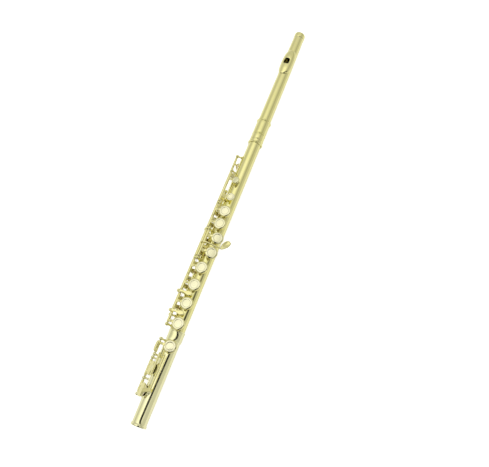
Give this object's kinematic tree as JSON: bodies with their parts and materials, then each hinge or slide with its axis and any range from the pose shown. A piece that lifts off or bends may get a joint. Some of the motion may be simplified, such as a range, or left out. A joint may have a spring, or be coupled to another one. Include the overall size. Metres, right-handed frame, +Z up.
{
  "type": "concert flute",
  "caption": "Three-joint transverse flute: tapered head with lip plate, keyed body and foot with sprung padded key cups on hinge rods.",
  "frame": {"origin": "centre of the foot's open end, on the tube's axis", "axes": "+X along the tube to the crown, +Y to the player's side, +Z up through the main row of keys"},
  "size_m": [0.6709, 0.0459, 0.0456],
  "materials": {
    "lacquer": "clear gold lacquer, polished",
    "steel": "ground steel",
    "pad": "thin skin over felt",
    "cork": "natural cork"
  },
  "bodies": {
    "body": {"body_tube": "lacquer", "barrel": "lacquer", "left_hand_rib": "lacquer", "right_hand_rib": "lacquer", "thumb_rib": "lacquer", "left_hand_steel": "steel", "gsharp_steel": "steel", "right_hand_steel": "steel", "g_steel": "steel", "thumb_steel": "steel"},
    "head": {"head_tube": "lacquer", "lip_plate": "lacquer", "embouchure_riser": "lacquer"},
    "crown": {"crown": "lacquer"},
    "stopper": {"stopper_cork": "cork", "stopper_screw": "steel", "stopper_washer": "steel"},
    "foot": {"foot_tube": "lacquer", "foot_dsharp_rib": "lacquer", "foot_rib": "lacquer", "foot_dsharp_steel": "steel", "foot_steel": "steel"},
    "c_key": {"c_key": "lacquer", "c_pad": "pad"},
    "bflat_key": {"bflat_key": "lacquer", "bflat_pad": "pad"},
    "a_key": {"a_key": "lacquer", "a_pad": "pad"},
    "g_key": {"g_key": "lacquer", "g_upper_pad": "pad", "g_lower_pad": "pad"},
    "fsharp_key": {"fsharp_key": "lacquer", "fsharp_pad": "pad"},
    "f_key": {"f_key": "lacquer", "f_pad": "pad"},
    "e_key": {"e_key": "lacquer", "e_pad": "pad"},
    "d_key": {"d_key": "lacquer", "d_pad": "pad"},
    "gsharp_key": {"gsharp_key": "lacquer", "gsharp_lever": "lacquer", "gsharp_pad": "pad"},
    "d_trill_key": {"d_trill_key": "lacquer", "d_trill_touch": "lacquer", "d_trill_pad": "pad"},
    "dsharp_trill_key": {"dsharp_trill_key": "lacquer", "dsharp_trill_touch": "lacquer", "dsharp_trill_pad": "pad"},
    "thumb_b_key": {"thumb_b_key": "lacquer", "thumb_b_pad": "pad"},
    "thumb_bflat_lever": {"thumb_bflat_lever": "lacquer"},
    "foot_dsharp_key": {"foot_dsharp_key": "lacquer", "foot_dsharp_pad": "pad"},
    "foot_csharp_key": {"foot_csharp_key": "lacquer", "foot_csharp_pad": "pad"},
    "foot_c_key": {"foot_c_key": "lacquer", "foot_c_pad": "pad"}
  },
  "joints": [
    {"name": "head_slide", "type": "slide", "parent": "body", "child": "head", "axis": [1, 0, 0], "range_m": [0, 0.015]},
    {"name": "crown_turn", "type": "hinge", "parent": "head", "child": "crown", "pos_m": [0.66, 0, 0], "axis": [1, 0, 0], "range_deg": [-360, 360]},
    {"name": "stopper_slide", "type": "slide", "parent": "head", "child": "stopper", "axis": [1, 0, 0], "range_m": [-0.001, 0.001]},
    {"name": "foot_turn", "type": "hinge", "parent": "body", "child": "foot", "pos_m": [0.12, 0, 0], "axis": [1, 0, 0], "range_deg": [-15, 15]},
    {"name": "c_key_hinge", "type": "hinge", "parent": "body", "child": "c_key", "pos_m": [0.345, 0.01573, 0.01101], "axis": [1, 0, 0], "range_deg": [0, 9.45], "stiffness_Nm_per_rad": 0.03, "springref_deg": -11.46},
    {"name": "bflat_key_hinge", "type": "hinge", "parent": "body", "child": "bflat_key", "pos_m": [0.31045, 0.01573, 0.01101], "axis": [1, 0, 0], "range_deg": [0, 8.02], "stiffness_Nm_per_rad": 0.03, "springref_deg": -11.46},
    {"name": "a_key_hinge", "type": "hinge", "parent": "body", "child": "a_key", "pos_m": [0.28965, 0.01573, 0.01101], "axis": [1, 0, 0], "range_deg": [0, 8.02], "stiffness_Nm_per_rad": 0.03, "springref_deg": -11.46},
    {"name": "g_key_hinge", "type": "hinge", "parent": "body", "child": "g_key", "pos_m": [0.256, 0.0119, 0.01507], "axis": [1, 0, 0], "range_deg": [0, 8.02], "stiffness_Nm_per_rad": 0.03, "springref_deg": -11.46},
    {"name": "fsharp_key_hinge", "type": "hinge", "parent": "body", "child": "fsharp_key", "pos_m": [0.21955, 0.01573, 0.01101], "axis": [1, 0, 0], "range_deg": [0, 8.02], "stiffness_Nm_per_rad": 0.03, "springref_deg": -11.46},
    {"name": "f_key_hinge", "type": "hinge", "parent": "body", "child": "f_key", "pos_m": [0.19335, 0.01573, 0.01101], "axis": [1, 0, 0], "range_deg": [0, 8.02], "stiffness_Nm_per_rad": 0.03, "springref_deg": -11.46},
    {"name": "e_key_hinge", "type": "hinge", "parent": "body", "child": "e_key", "pos_m": [0.1656, 0.01573, 0.01101], "axis": [1, 0, 0], "range_deg": [0, 8.02], "stiffness_Nm_per_rad": 0.03, "springref_deg": -11.46},
    {"name": "d_key_hinge", "type": "hinge", "parent": "body", "child": "d_key", "pos_m": [0.1362, 0.01573, 0.01101], "axis": [1, 0, 0], "range_deg": [0, 8.02], "stiffness_Nm_per_rad": 0.03, "springref_deg": -11.46},
    {"name": "gsharp_key_hinge", "type": "hinge", "parent": "body", "child": "gsharp_key", "pos_m": [0.256, 0.01573, 0.01101], "axis": [1, 0, 0], "range_deg": [0, 6.87], "stiffness_Nm_per_rad": 0.03, "springref_deg": -11.46},
    {"name": "d_trill_key_hinge", "type": "hinge", "parent": "body", "child": "d_trill_key", "pos_m": [0.28, 0.01764, 0.0045], "axis": [1, 0, 0], "range_deg": [0, 9.13], "stiffness_Nm_per_rad": 0.03, "springref_deg": -11.46},
    {"name": "dsharp_trill_key_hinge", "type": "hinge", "parent": "body", "child": "dsharp_trill_key", "pos_m": [0.28, 0.01764, 0.0045], "axis": [1, 0, 0], "range_deg": [0, 9.13], "stiffness_Nm_per_rad": 0.03, "springref_deg": -11.46},
    {"name": "thumb_b_key_hinge", "type": "hinge", "parent": "body", "child": "thumb_b_key", "pos_m": [0.33007, 0.01573, -0.01101], "axis": [1, 0, 0], "range_deg": [-8.02, 0], "stiffness_Nm_per_rad": 0.03, "springref_deg": 11.46},
    {"name": "thumb_bflat_lever_hinge", "type": "hinge", "parent": "body", "child": "thumb_bflat_lever", "pos_m": [0.344, 0.01573, -0.01101], "axis": [1, 0, 0], "range_deg": [-8.02, 0], "stiffness_Nm_per_rad": 0.03, "springref_deg": 11.46},
    {"name": "foot_dsharp_key_hinge", "type": "hinge", "parent": "foot", "child": "foot_dsharp_key", "pos_m": [0.105, 0.01513, 0.01182], "axis": [1, 0, 0], "range_deg": [-8.02, 0], "stiffness_Nm_per_rad": 0.03, "springref_deg": 11.46},
    {"name": "foot_csharp_key_hinge", "type": "hinge", "parent": "foot", "child": "foot_csharp_key", "pos_m": [0.072, 0.01871, -0.00432], "axis": [1, 0, 0], "range_deg": [0, 8.02], "stiffness_Nm_per_rad": 0.03, "springref_deg": -11.46},
    {"name": "foot_c_key_hinge", "type": "hinge", "parent": "foot", "child": "foot_c_key", "pos_m": [0.03705, 0.01871, -0.00432], "axis": [1, 0, 0], "range_deg": [0, 8.02], "stiffness_Nm_per_rad": 0.03, "springref_deg": -11.46}
  ],
  "couplings": [
    {"joint": "crown_turn", "follows": "stopper_slide", "rad_per_m": 6283.2},
    {"joint": "bflat_key_hinge", "follows": "a_key_hinge", "ratio": 1},
    {"joint": "fsharp_key_hinge", "follows": "f_key_hinge", "ratio": 1}
  ]
}
